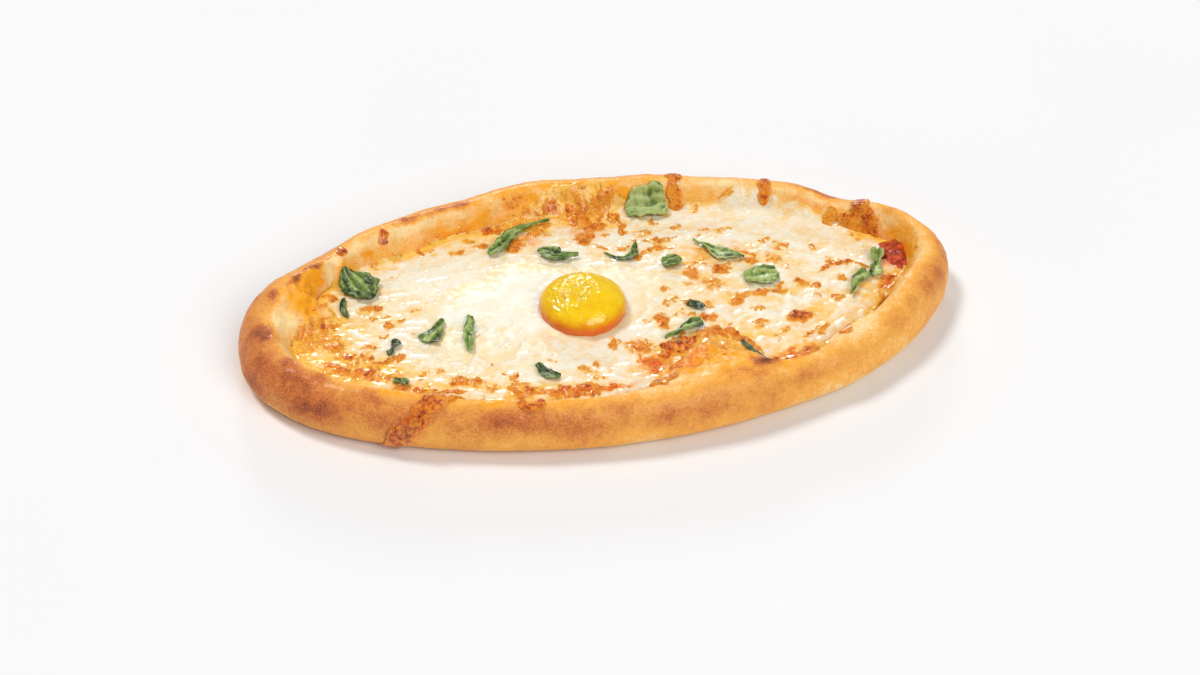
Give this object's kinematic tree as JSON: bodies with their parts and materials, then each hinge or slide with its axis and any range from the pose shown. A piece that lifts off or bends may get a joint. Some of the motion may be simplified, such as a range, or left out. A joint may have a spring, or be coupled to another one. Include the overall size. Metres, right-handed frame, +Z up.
{
  "type": "peinirli",
  "caption": "Open boat of baked dough with a thick rim, filled with melted browned cheese, a baked egg yolk and white, torn green leaves and a little tomato sauce.",
  "frame": {"origin": "centre of the bounding box, on the surface the bread lies on", "axes": "+X along the boat, from its left tip to its right tip as the picture shows it; +Y across it, away from the camera; +Z up"},
  "size_m": [0.3251, 0.1767, 0.03],
  "materials": {
    "crust": "satin baked crust",
    "cheese": "soft gloss",
    "egg_white": "wet gloss",
    "egg_yolk": "wet gloss",
    "sauce": "wet gloss",
    "leaf": "wilted, slightly oily"
  },
  "bodies": {
    "root": {"dough": "crust", "cheese": "cheese", "egg_white": "egg_white", "egg_yolk": "egg_yolk", "tomato_sauce": "sauce", "leaf_left_large": "leaf", "leaf_left_stem": "leaf", "leaf_back_long": "leaf", "leaf_back_small": "leaf", "leaf_back_curl": "leaf", "leaf_back_large": "leaf", "leaf_right_small": "leaf", "leaf_right_stem": "leaf", "leaf_right_round": "leaf", "leaf_tip_lower": "leaf", "leaf_tip_upper": "leaf", "leaf_fold_flat": "leaf", "leaf_fold_dark": "leaf", "leaf_fold_strip": "leaf", "leaf_front_small": "leaf", "leaf_mid_torn": "leaf", "leaf_mid_strip": "leaf", "leaf_mid_dark": "leaf", "leaf_edge_bit": "leaf"}
  },
  "joints": []
}
